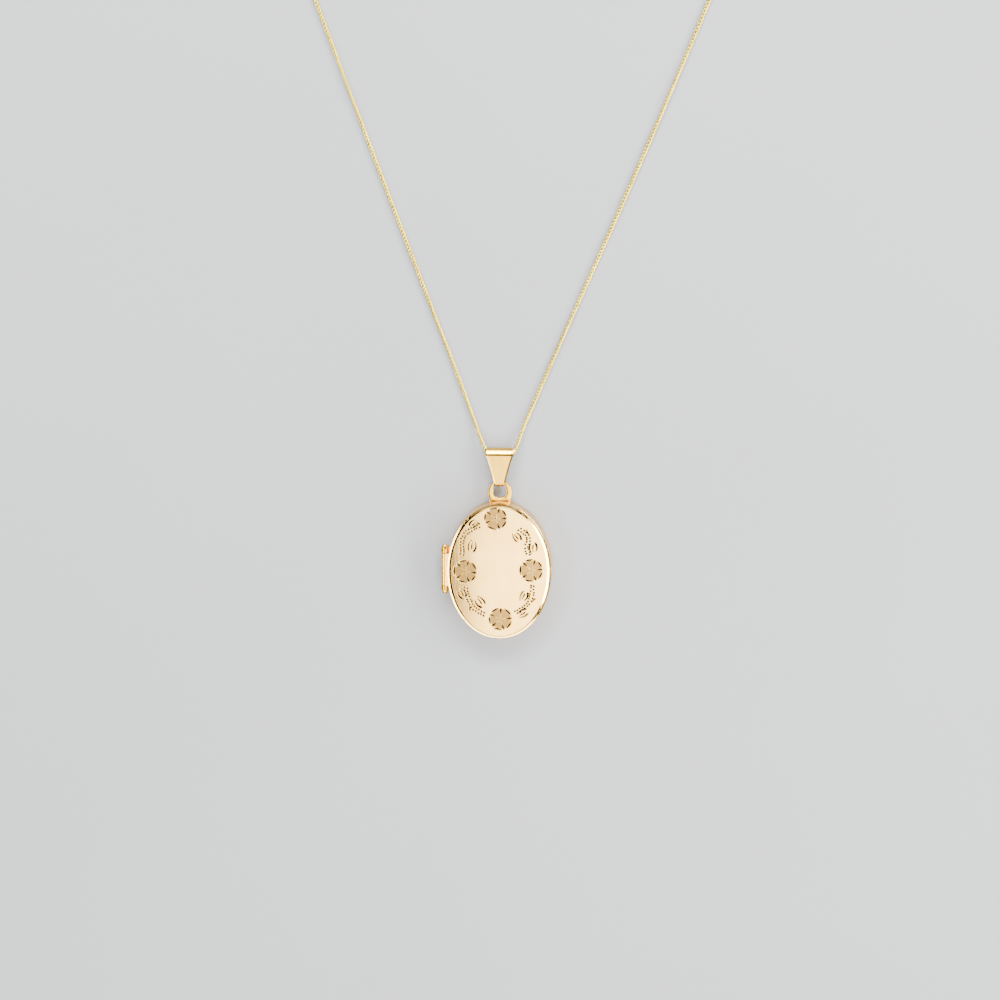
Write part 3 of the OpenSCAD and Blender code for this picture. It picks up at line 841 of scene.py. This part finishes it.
def bail_strip():
    """The strip's outer line runs round the foot, up the back leaf, over the top round, down a flat band,
    across the crease and down the front leaf. A flat section with bevelled edges follows it. The front leaf's
    half width is 1.10 + 1.79 s ^ 1.2, where s is the share of the way up."""
    foot, foot_r = np.array([16.625, 1.3]), 0.82
    top, top_r = np.array([21.945, 1.3]), 1.25
    foot_a = np.radians(np.linspace(94.6, 265.4, 25))
    top_a = np.radians(np.linspace(-94.6, 32.8, 29))
    foot_line = foot + foot_r * np.stack([np.cos(foot_a), np.sin(foot_a)], -1)
    top_line = top + top_r * np.stack([np.cos(top_a), np.sin(top_a)], -1)
    back_line = foot_line[-1] + (top_line[0] - foot_line[-1]) * np.linspace(0, 1, 14)[1:-1, None]
    band = np.array([(22.80, 2.135), (22.60, 2.27), (22.40, 2.40), (22.24, 2.50), (22.17, 2.525)])
    crease = np.array([(22.15, 2.41), (22.05, 2.42), (22.03, 2.535)])
    front_line = crease[-1] + (foot_line[0] - crease[-1]) * np.linspace(0, 1, 18)[1:-1, None]
    line = np.vstack([foot_line, back_line, top_line, band, crease, front_line])
    ahead = np.roll(line, -1, axis=0) - np.roll(line, 1, axis=0)
    ahead /= np.linalg.norm(ahead, axis=1, keepdims=True)
    out = np.stack([ahead[:, 1], -ahead[:, 0]], -1)
    out *= np.sign((out * (line - [19.3, 1.3])).sum(1))[:, None]
    low_y, high_y = 16.6, 23.0
    share = np.clip((line[:, 0] - low_y) / (high_y - low_y), 0, 1)
    front_wide = 1.10 + 1.79 * share ** 1.2
    back_wide = 0.95 + 1.45 * share
    kinds = [len(foot_line), len(back_line) + len(top_line), len(band), len(crease) + len(front_line)]
    wide = np.concatenate([
        np.linspace(1.08, 0.95, kinds[0]),
        np.minimum(back_wide[kinds[0]:kinds[0] + kinds[1]], 2.36),
        front_wide[-kinds[2] - kinds[3]:],
    ])
    corner = slice(kinds[0] + kinds[1] - 4, kinds[0] + kinds[1])
    wide[corner] = [2.38, 2.46, 2.62, 2.88]
    bevel_wide, bevel_deep = 0.30, 0.12
    section = np.array([
        (-1, bevel_wide, 0.0), (1, -bevel_wide, 0.0), (1, 0.0, -bevel_deep), (1, 0.0, -0.28),
        (1, -0.04, -BAIL_T), (-1, 0.04, -BAIL_T), (-1, 0.0, -0.28), (-1, 0.0, -bevel_deep),
    ])
    x = wide[:, None] * section[None, :, 0] + section[None, :, 1]
    depth = section[None, :, 2, None]
    yz = line[:, None] + out[:, None] * depth
    points = np.concatenate([x[..., None], yz], axis=-1)
    faces = grid_faces(len(line), len(section), wrap_rows=True)[:, ::-1]
    obj = put_mesh("bail_strip", points * MM, [faces], BAIL_GOLD, sharp=20)
    crease_end = len(line) - len(front_line)
    # Painted shade: the rows across the crease are painted dark.
    crease_shade = np.zeros((len(line), len(section)))
    crease_shade[crease_end - len(crease):crease_end] = 1.0
    paint(obj, "cut", crease_shade)
    return obj


bail = bail_strip()
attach(bail, "bail")
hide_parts("bail")

# ---------------------------------------------------------------------------
# What the case holds, a gold picture frame, a clear film window and a blank
# card in each half, cut to drop in, and the bolt ring clasp with its steel
# spring. All of them keep the shapes that they have in the frame.
# ---------------------------------------------------------------------------
film = bpy.data.materials.new("clear film")
film.use_nodes = True
film_shader = film.node_tree.nodes["Principled BSDF"]
film_shader.inputs["Transmission Weight"].default_value = 1.0
film_shader.inputs["IOR"].default_value = 1.45
film_shader.inputs["Base Color"].default_value = (0.97, 0.98, 0.98, 1)
film_dull = placed_group(film, HANDLING, Scale=120.0, Low=0.03, High=0.09)
film.node_tree.links.new(film_dull.outputs["Value"], film_shader.inputs["Roughness"])

card = bpy.data.materials.new("blank card")
card.use_nodes = True
card_shader = card.node_tree.nodes["Principled BSDF"]
card_shader.inputs["Roughness"].default_value = 0.8
card_tone = placed_group(card, HANDLING, Scale=1800.0)
card_mix = card.node_tree.nodes.new("ShaderNodeMix")
card_mix.data_type = "RGBA"
card_mix.inputs["A"].default_value = (0.86, 0.84, 0.78, 1)
card_mix.inputs["B"].default_value = (0.80, 0.77, 0.70, 1)
card.node_tree.links.new(card_tone.outputs["Value"], card_mix.inputs["Factor"])
card.node_tree.links.new(card_mix.outputs["Result"], card_shader.inputs["Base Color"])

steel = polished_metal("spring steel", (0.62, 0.62, 0.63), (0.5, 0.5, 0.52), rough=0.22)
kept_shapes = {
    CASE_GOLD: ("back_flange", "catch_nib", "back_frame", "front_frame", "front_bearer"),
    WARM_GOLD: (
        "hinge_pin", "back_bearers", "clasp_body", "clasp_bolt", "clasp_eye", "clasp_link", "end_ring",
    ),
    film: ("back_window", "front_window"),
    card: ("back_card", "front_card"),
    steel: ("clasp_spring",),
}
for material, nodes in kept_shapes.items():
    for node in nodes:
        for part_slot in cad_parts[node].material_slots:
            part_slot.material = material
